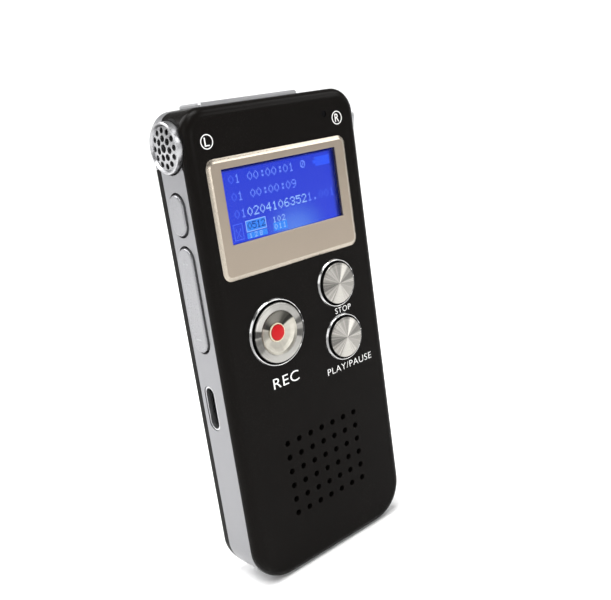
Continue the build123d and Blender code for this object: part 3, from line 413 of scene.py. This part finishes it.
def rounded(points, radius):
    """Outline with each corner between its ends rounded by about a radius."""
    steps = 4
    out = [points[0]]
    for before, here, after in zip(points, points[1:], points[2:]):
        b, h, a = Vector(before), Vector(here), Vector(after)
        into, away = b - h, a - h
        cut = min(radius, into.length * 0.45, away.length * 0.45)
        start, stop = h + into.normalized() * cut, h + away.normalized() * cut
        for i in range(steps + 1):
            t = i / steps
            point = start * (1 - t) ** 2 + h * 2 * t * (1 - t) + stop * t ** 2
            out.append((point.x, point.y))
    out.append(points[-1])
    return out


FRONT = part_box("front_cover")[0].y


def deep(depth):
    """Y of a depth in millimetres behind the flat of the front cover."""
    return FRONT + depth * MM


def outline(points, radius):
    """Rounded outline in metres from (radius, depth) points in millimetres."""
    return [(r * MM, deep(d)) for r, d in rounded(points, radius)]


RING_WIDTH = 0.52


def key_ring(node):
    """Polished ring round a key with a rounded crest."""
    low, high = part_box(node)
    outer = (high.x - low.x) / 2 / MM
    inner = outer - RING_WIDTH
    points = [(inner, 0.5), (inner, -0.28), (inner + 0.15, -0.45), (outer - 0.26, -0.45), (outer, -0.02),
              (outer, 0.5)]
    bm = turned(outline(points, 0.16), centre(node))
    piece(f"{node}_trim", bm, "case", MATERIALS["chrome_ring"], [node], origin=centre(node))


for ring_node in ("rec_ring", "stop_ring", "play_ring"):
    key_ring(ring_node)


def key_body(node, body, crown):
    """Black plastic body of a key under its metal face: its crown, then a drum, a flange and a stem."""
    low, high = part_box(node)
    flange = (high.x - low.x) / 2 / MM
    side = crown[-1][0]
    back = [(side, 1.38), (flange, 1.42), (flange, 1.88), (1.5, 1.9), (1.25, 3.15), (0, 3.2)]
    bm = turned(outline(crown + back, 0.05), centre(node))
    piece(f"{node}_body", bm, body, MATERIALS["key_black"], [node], origin=centre(node))


def key_face(name, node, body, points, material):
    """Thin metal face of a key, from a closed outline of (radius, depth) points in millimetres."""
    bm = turned(outline(points, 0.06), centre(node))
    piece(name, bm, body, MATERIALS[material], origin=centre(node))


CONE = [(0, -1.19), (0.35, -1.17), (3.75, -0.98), (4.06, -0.92), (4.12, -0.82), (4.12, -0.74), (0, -0.74)]
for small_key in ("stop", "play"):
    key_body(f"{small_key}_button", f"{small_key}_key", [(0, -0.74), (4.0, -0.74)])
    key_face(f"{small_key}_button_face", f"{small_key}_button", f"{small_key}_key", CONE, "spun_metal")

# The large key has a flat turned rim round a dish, and the dish runs down to the red lens.
REC_CROWN = [(0, 0.32), (1.9, 0.32), (1.9, 0.14), (4.2, 0.14), (4.2, -0.5), (5.65, -0.5)]
RIM = [(4.3, -0.5), (4.3, -0.8), (4.42, -0.88), (5.5, -0.98), (5.74, -0.88), (5.82, -0.7), (5.82, -0.5)]
DISH = [(1.84, 0.12), (1.84, 0.0), (2.1, -0.02), (3.1, -0.22), (3.9, -0.52), (4.28, -0.84), (4.28, -0.52),
        (3.4, 0.0), (3.2, 0.12)]
LENS = [(0, 0.25), (1.5, 0.25), (1.56, -0.34), (1.25, -0.5), (0.7, -0.61), (0, -0.65)]
LENS_RIM = [(1.60, 0.25), (1.60, -0.20), (1.66, -0.28), (1.76, -0.26), (1.82, -0.14), (1.82, 0.25)]
key_body("rec_button", "rec_key", REC_CROWN)
key_face("rec_button_rim", "rec_button", "rec_key", RIM, "rim_metal")
key_face("rec_button_dish", "rec_button", "rec_key", DISH, "dish_metal")

rec_at = centre("rec_lens")
piece("rec_dot", turned(outline(LENS, 0.2), rec_at), "rec_key", MATERIALS["red_lens"],
      ["rec_lens"], origin=rec_at)
piece("rec_dot_rim", turned(outline(LENS_RIM, 0.05), rec_at), "rec_key",
      MATERIALS["cream_rim"], origin=rec_at)


# ---- Display bezel: rounded outer edge, crisp window opening -------------------------------------
BEZEL_CORNER = 1.7 * MM
LEAST_CORNER = 0.2 * MM
BEVEL_WIDTH = 0.8
BEZEL_FACE = -0.28
BEVEL = ((0.0, 0.5), (0.0, 0.03), (0.06, -0.04), (0.72, -0.27), (BEVEL_WIDTH, -0.29), (BEVEL_WIDTH, 0.5))
FACE_LAP = 0.02
WINDOW_GAP = 0.05


def bezel_loop(low, high, inset, y):
    """Loop of points of the bezel's outline with rounded corners, drawn in by inset."""
    radius = max(BEZEL_CORNER - inset, LEAST_CORNER)
    steps = 10
    points = []
    corners = ((high.x, high.z, 0), (low.x, high.z, 90), (low.x, low.z, 180), (high.x, low.z, 270))
    for cx, cz, start in corners:
        sx, sz = math.copysign(1, cx - (low.x + high.x) / 2), math.copysign(1, cz - (low.z + high.z) / 2)
        px, pz = cx - sx * (inset + radius), cz - sz * (inset + radius)
        for i in range(steps + 1):
            angle = math.radians(start + 90 * i / steps)
            points.append((px + radius * math.cos(angle), y, pz + radius * math.sin(angle)))
    return points


def window_loop(low, high, grow, y):
    """The window's four corners, in the same direction as the bezel's outline."""
    corners = [(high.x + grow, high.z + grow), (low.x - grow, high.z + grow), (low.x - grow, low.z - grow),
               (high.x + grow, low.z - grow)]
    return [(x, y, z) for x, z in corners]


def bridge(bm, a, b):
    """Faces between two loops of the same length."""
    for i in range(len(a)):
        j = (i + 1) % len(a)
        bm.faces.new([a[i], a[j], b[j], b[i]])


def bezel_bevel():
    """Polished bevel all round the bezel, from (inset, depth) points in millimetres."""
    low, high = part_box("display_bezel")
    bm = bmesh.new()
    rings = []
    for inset, depth in BEVEL:
        loop = bezel_loop(low, high, inset * MM, deep(depth))
        rings.append([bm.verts.new(point) for point in loop])
    for a, b in zip(rings, rings[1:] + rings[:1]):
        bridge(bm, a, b)
    piece("bezel_bevel", bm, "case", MATERIALS["bevel_metal"])


def bezel():
    """Flat satin face of the bezel inside its polished bevel, with a crisp window opening."""
    low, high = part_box("display_bezel")
    glass_low, glass_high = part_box("display_window")
    gap = Vector((WINDOW_GAP, 0, WINDOW_GAP)) * MM
    glass_low, glass_high = glass_low - gap, glass_high + gap
    bm = bmesh.new()
    rings = []
    for depth in (0.5, BEZEL_FACE):
        loop = bezel_loop(low, high, (BEVEL_WIDTH - FACE_LAP) * MM, deep(depth))
        rings.append([bm.verts.new(point) for point in loop])
    bridge(bm, *rings)
    hole = []
    for grow, depth in ((0.10, BEZEL_FACE), (0.0, -0.2), (0.0, 0.5)):
        points = window_loop(glass_low, glass_high, grow * MM, deep(depth))
        hole.append([bm.verts.new(point) for point in points])
    for a, b in zip(hole, hole[1:]):
        bridge(bm, a, b)
    count = len(rings[0])
    per = count // 4
    for outer, inner in ((rings[-1], hole[0]), (rings[0], hole[-1])):
        for i in range(4):
            first, j = i * per, (i + 1) % 4
            for k in range(first, first + per - 1):
                bm.faces.new([outer[k], outer[k + 1], inner[i]])
            bm.faces.new([outer[first + per - 1], outer[(first + per) % count], inner[j], inner[i]])
    piece("bezel_frame", bm, "case", MATERIALS["champagne_metal"], ["display_bezel"])


bezel()
bezel_bevel()


# ---- Display contents ----------------------------------------------------------------------------
# Dots of each character in rows from the top; "x" and "v" stand for two plain symbols.
GLYPHS = {
    "0": "..#../.#.#./#...#/#...#/#...#/.#.#./..#..",
    "1": "..#../.##../..#../..#../..#../..#../.###.",
    "2": ".###./#...#/....#/...#./..#../.#.../#####",
    "3": ".###./#...#/....#/..##./....#/#...#/.###.",
    "4": "...#./..##./.#.#./#..#./#####/...#./...#.",
    "5": "#####/#..../####./....#/....#/#...#/.###.",
    "6": "..##./.#.../#..../####./#...#/#...#/.###.",
    "8": ".###./#...#/#...#/.###./#...#/#...#/.###.",
    "9": ".###./#...#/#...#/.####/....#/...#./.##..",
    ":": "...../..##./..##./...../..##./..##./.....",
    ".": "...../...../...../...../...../.##../.##..",
    "x": ".###./#..##/#.#.#/#.#.#/##..#/.###./.....",
    "v": "#...#/#...#/.#.#./..#../..#../.#.#./#...#",
}
PANEL_LOW, PANEL_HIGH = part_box("display_window")
GRAPHIC_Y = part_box("lcd_panel")[0].y - 0.02 * MM
OVER_Y = GRAPHIC_Y - 0.01 * MM
CELL_DEPTH = 0.008 * MM
DOT_GAP = 0.06
TIME_PITCH, TRACK_PITCH = 1.41, 1.46
TIME_TOP, COUNT_TOP, TRACK_TOP = 1.3, 4.45, 7.6


def cell(bm, left, top, right, bottom, y=GRAPHIC_Y):
    """One lit rectangle on the panel, given in millimetres from its top left corner."""
    x0, x1 = PANEL_LOW.x + left * MM, PANEL_LOW.x + right * MM
    z0, z1 = PANEL_HIGH.z - bottom * MM, PANEL_HIGH.z - top * MM
    front = [bm.verts.new((x, y, z)) for x, z in ((x0, z0), (x1, z0), (x1, z1), (x0, z1))]
    back = [bm.verts.new((v.co.x, y + CELL_DEPTH, v.co.z)) for v in front]
    bm.faces.new(front)
    bm.faces.new(back[::-1])
    for i in range(4):
        j = (i + 1) % 4
        bm.faces.new([front[i], back[i], back[j], front[j]])


def write(bm, text, left, top, dot, pitch=0.0, y=GRAPHIC_Y):
    """Write dot-matrix characters from a top left place in millimetres; each run of dots is one cell.

    dot is the step from one dot to the next, and pitch the step from one character to the next.
    """
    for index, character in enumerate(text):
        for row, dots in enumerate(GLYPHS[character].split("/")):
            column = 0
            while column < len(dots):
                if dots[column] == "#":
                    run = column
                    while run < len(dots) and dots[run] == "#":
                        run += 1
                    x, z = left + index * pitch, top + row * dot
                    cell(bm, x + column * dot, z, x + (run - DOT_GAP) * dot, z + (1 - DOT_GAP) * dot, y)
                    column = run
                column += 1


def frame_box(bm, left, top, right, bottom, line):
    """Open rectangle drawn with four cells of a line width."""
    cell(bm, left, top, right, top + line)
    cell(bm, left, bottom - line, right, bottom)
    cell(bm, left, top + line, left + line, bottom - line)
    cell(bm, right - line, top + line, right, bottom - line)


faint, lit, bright, pale, sky, dark = [bmesh.new() for _ in range(6)]

write(faint, "0", 1.6, TIME_TOP, 0.23)
write(lit, "1", 1.6 + TIME_PITCH, TIME_TOP, 0.23)
write(lit, "00:00:01", 5.85, TIME_TOP, 0.23, TIME_PITCH)
write(lit, "x", 18.6, TIME_TOP, 0.24)
cell(bright, 22.35, 1.15, 26.1, 2.95)
cell(bright, 21.75, 1.7, 22.35, 2.4)
write(faint, "0", 1.7, COUNT_TOP, 0.23)
write(lit, "1", 1.7 + TIME_PITCH, COUNT_TOP, 0.23)
write(lit, "00:00:09", 5.95, COUNT_TOP, 0.23, TIME_PITCH)
for bm, text, place, dot in (
    (faint, "0", 0, 0.23),
    (lit, "1", 1, 0.23),
    (pale, "0204106352", 2, 0.235),
    (lit, "1.", 12, 0.23),
    (faint, "001", 14, 0.23),
):
    write(bm, text, 1.75 + place * TRACK_PITCH, TRACK_TOP, dot, TRACK_PITCH)

frame_box(faint, 1.0, 10.1, 3.1, 13.1, 0.16)
write(faint, "v", 1.45, 11.0, 0.24)
frame_box(pale, 3.8, 9.95, 8.5, 12.05, 0.14)
cell(sky, 3.94, 10.09, 8.36, 11.91)
write(dark, "0512", 4.2, 10.3, 0.19, 1.05, OVER_Y)
cell(sky, 3.8, 12.2, 8.5, 13.3)
write(pale, "128", 4.3, 12.3, 0.13, 1.2, OVER_Y)
cell(sky, 10.1, 11.6, 13.4, 13.15)
write(pale, "102", 10.15, 10.45, 0.16, 1.1)
write(pale, "011", 10.3, 11.85, 0.15, 1.05, OVER_Y)

for name, bm, colour in (
    ("lcd_faint", faint, (0.075, 0.150, 0.90)),
    ("lcd_lit", lit, (0.16, 0.29, 0.98)),
    ("lcd_battery", bright, (0.035, 0.105, 0.97)),
    ("lcd_pale", pale, (0.34, 0.58, 1.0)),
    ("lcd_sky", sky, (0.045, 0.26, 0.93)),
    ("lcd_dark", dark, (0.010, 0.028, 0.32)),
):
    piece(name, bm, "case", ink(name, colour, lit=True), smooth=False)


# ---- Printed marks -------------------------------------------------------------------------------
WHITE_INK = ink("white_ink", (0.86, 0.86, 0.85), roughness=0.45)
PRINT_HEIGHT = 0.02 * MM


def printed(name, text, at_x, at_z, width, height, bold):
    """Printed word centred on a place on the front, in millimetres, from the built-in plain typeface.

    bold moves the letters' outlines outward, and a negative one moves them inward.
    """
    curve = bpy.data.curves.new(name, "FONT")
    curve.body = text
    curve.align_x, curve.align_y = "CENTER", "CENTER"
    curve.offset = bold
    curve.space_character = 1.1
    curve.extrude = 0.5
    holder = bpy.data.objects.new(name + "_source", curve)
    SCENE.collection.objects.link(holder)
    bpy.context.view_layer.update()
    mesh = bpy.data.meshes.new_from_object(holder.evaluated_get(bpy.context.evaluated_depsgraph_get()))
    bpy.data.objects.remove(holder)
    bm = bmesh.new()
    bm.from_mesh(mesh)
    bpy.data.meshes.remove(mesh)
    bmesh.ops.remove_doubles(bm, verts=bm.verts, dist=1e-5)
    low = [min(v.co[k] for v in bm.verts) for k in range(3)]
    high = [max(v.co[k] for v in bm.verts) for k in range(3)]
    for v in bm.verts:
        fx, fz, fy = [(v.co[k] - low[k]) / (high[k] - low[k]) for k in range(3)]
        x, z = at_x + (fx - 0.5) * width, at_z + (fz - 0.5) * height
        v.co = (x * MM, deep(0) - fy * PRINT_HEIGHT, z * MM)
    piece(name, bm, "case", WHITE_INK, smooth=False)


printed("label_rec", "REC", -6.95, 40.05, 6.4, 2.1, -0.004)
printed("label_stop", "STOP", 9.95, 49.6, 4.3, 1.15, -0.006)
printed("label_play_pause", "PLAY/PAUSE", 9.85, 37.8, 12.4, 1.35, -0.012)


MARK_RADIUS, MARK_LINE = 1.31 * MM, 0.17 * MM


def ring_mark(name, letter, at_x, at_z):
    """Printed circle round a channel letter."""
    at = Vector((at_x * MM, 0, at_z * MM))
    inner, base, top = MARK_RADIUS - MARK_LINE, deep(0), deep(0) - PRINT_HEIGHT
    profile = [(inner, base), (inner, top), (MARK_RADIUS, top), (MARK_RADIUS, base)]
    piece(name + "_ring", turned(profile, at, 72), "case", WHITE_INK, smooth=False)
    printed(name, letter, at_x, at_z, 1.05, 1.55, 0.0)


ring_mark("mark_left", "L", -16.0, 87.0)
ring_mark("mark_right", "R", 15.0, 87.3)


# ---- Marks on the side keys ----------------------------------------------------------------------
MARK_GREY = ink("mark_grey", (0.33, 0.33, 0.35))
BAR_LENGTH, BAR_WIDTH, BAR_DEPTH = 1.5 * MM, 0.22 * MM, 0.03 * MM
LEVEL_BAR, UPRIGHT_BAR = (BAR_LENGTH, BAR_WIDTH), (BAR_WIDTH, BAR_LENGTH)


def rocker_mark(name, offset_z, bars):
    """Raised bars on the face of the rocker; each bar is (length along Y, length along Z)."""
    at = centre("volume_rocker")
    at.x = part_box("volume_rocker")[0].x
    at.z += offset_z * MM
    bm = bmesh.new()
    for size_y, size_z in bars:
        shape = Matrix.Diagonal((BAR_DEPTH, size_y, size_z, 1.0))
        bmesh.ops.create_cube(bm, size=1.0, matrix=Matrix.Translation(at) @ shape)
    piece(name, bm, "rocker", MARK_GREY, smooth=False)


rocker_mark("mark_plus", 7.0, [LEVEL_BAR, UPRIGHT_BAR])
rocker_mark("mark_minus", -7.4, [LEVEL_BAR])


# ---- Materials on the CAD nodes that stay --------------------------------------------------------
slots = {row["node"]: row["material_slot"] for row in frame["record"]["subparts"]}
MATERIALS["clear_window"] = window_glass()
MATERIALS["lcd_glass"] = lit_panel((0.002, 0.005, 0.09), (0.030, 0.058, 0.70), (0.033, 0.066, 0.74),
                                   (0.10, 0.235, 0.86), (PANEL_LOW, PANEL_HIGH))
for node, obj in frame["nodes"].items():
    obj.data.materials.clear()
    obj.data.materials.append(MATERIALS[slots[node]])


# ---- Stage, light and camera ---------------------------------------------------------------------
def stage_floor():
    """Round pale floor that sweeps up into a low pale wall."""
    bm = bmesh.new()
    flat, bend, wall, around, steps = 1.2, 0.4, 0.6, 96, 12
    profile = [(0.0, 0.0), (0.3, 0.0), (flat, 0.0)]
    for i in range(1, steps + 1):
        angle = math.radians(90 * i / steps)
        profile.append((flat + bend * math.sin(angle), bend * (1 - math.cos(angle))))
    profile.append((flat + bend, wall))
    rings = []
    for radius, z in profile:
        turns = range(around if radius else 1)
        angles = [2 * math.pi * i / around for i in turns]
        rings.append([bm.verts.new((radius * math.cos(a), radius * math.sin(a), z)) for a in angles])
    for a, b in zip(rings, rings[1:]):
        for i in range(around):
            j = (i + 1) % around
            corners = [a[i % len(a)], a[j % len(a)], b[j], b[i]]
            bm.faces.new(list(dict.fromkeys(corners)))
    bmesh.ops.recalc_face_normals(bm, faces=bm.faces)
    mesh = bpy.data.meshes.new("stage_floor")
    bm.to_mesh(mesh)
    bm.free()
    mesh.polygons.foreach_set("use_smooth", [True] * len(mesh.polygons))
    floor = bpy.data.objects.new("stage_floor", mesh)
    SCENE.collection.objects.link(floor)
    paper = finish("stage_paper", (0.90, 0.90, 0.90), 0.9, grain=300.0, bump=0.02, tint=0.01)
    floor.data.materials.append(paper)


stage_floor()


PART_MIDDLE = (0.0, 0.0, 0.05)


def softbox(name, at, size, power, target=PART_MIDDLE):
    """Rectangular area light of a power in watts that faces a target."""
    light = bpy.data.lights.new(name, "AREA")
    light.shape = "RECTANGLE"
    light.size, light.size_y = size
    light.energy = power
    obj = bpy.data.objects.new(name, light)
    SCENE.collection.objects.link(obj)
    obj.location = at
    obj.rotation_euler = (Vector(target) - Vector(at)).to_track_quat("-Z", "Y").to_euler()


softbox("key_light", (-1.0, -0.25, 0.55), (0.5, 0.7), 3.0)
softbox("front_light", (-0.3, -0.36, 0.92), (0.28, 0.28), 2.2)
softbox("right_light", (0.7, -0.28, 0.82), (0.45, 0.45), 2.2)
softbox("top_light", (-0.45, 0.65, 0.95), (0.7, 0.7), 12.0)
softbox("low_light", (0.67, -0.72, 0.56), (0.55, 0.34), 2.6)
softbox("facing_light", (-0.08, -1.0, 0.16), (0.36, 0.22), 1.2)
softbox("left_wall_light", (0.0, 0.0, 1.3), (0.6, 0.6), 8.5, target=(-1.0, 1.25, 0.25))
softbox("wall_light", (0.0, 0.0, 1.3), (0.8, 0.8), 16.0, target=(1.0, 1.25, 0.2))

WORLD_LIGHT = 0.22
world = bpy.data.worlds.new("studio")
SCENE.world = world
world.use_nodes = True
background = world.node_tree.nodes["Background"]
background.inputs["Color"].default_value = (1.0, 1.0, 1.0, 1.0)
background.inputs["Strength"].default_value = WORLD_LIGHT

# The camera looks along the negative of its back axis; the axes and place are in the part's frame.
FOCAL_LENGTH, SENSOR_WIDTH = 47.57, 36.0
CAMERA_PLACE = (-0.09519, -0.12442, 0.09215)
RIGHT_AXIS = (0.74914, -0.64739, -0.14029)
UP_AXIS = (0.26285, 0.09611, 0.96004)
BACK_AXIS = (-0.60803, -0.75608, 0.24217)

camera_data = bpy.data.cameras.new("camera")
camera_data.sensor_width = SENSOR_WIDTH
camera_data.lens = FOCAL_LENGTH
camera_data.clip_start = 0.01
camera = bpy.data.objects.new("camera", camera_data)
SCENE.collection.objects.link(camera)
turn = Matrix((RIGHT_AXIS, UP_AXIS, BACK_AXIS)).transposed().to_4x4()
camera.matrix_world = Matrix.Translation(CAMERA_PLACE) @ turn
SCENE.camera = camera
SCENE.view_settings.view_transform = "Standard"

bpy.context.view_layer.update()
